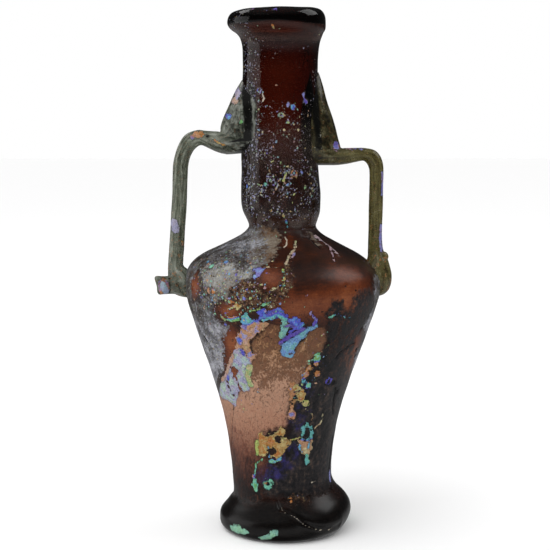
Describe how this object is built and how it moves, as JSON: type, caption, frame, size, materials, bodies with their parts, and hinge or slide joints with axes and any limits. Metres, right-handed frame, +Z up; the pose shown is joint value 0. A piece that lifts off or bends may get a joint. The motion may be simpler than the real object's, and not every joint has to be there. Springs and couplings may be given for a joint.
{
  "type": "glass amphoriskos",
  "caption": "Small free-blown glass flask with a rolled lip, swelling neck, round shoulder, tapering body, thick rounded foot and a thin bent handle on each side.",
  "frame": {"origin": "on the ground, under the middle of the box that holds the vessel and both handles", "axes": "+Z up along the vessel's axis, +X to the right handle as seen from the front, +Y to the back"},
  "size_m": [0.0674, 0.0562, 0.1501],
  "materials": {
    "aubergine_glass": "glossy free-blown glass, dark aubergine to amber brown, partly under a grey and iridescent weathering film",
    "olive_glass": "satin olive-green glass with lengthwise striations and a few iridescent flakes"
  },
  "bodies": {
    "root": {"vessel": "aubergine_glass", "left_handle": "olive_glass", "right_handle": "olive_glass"}
  },
  "joints": []
}
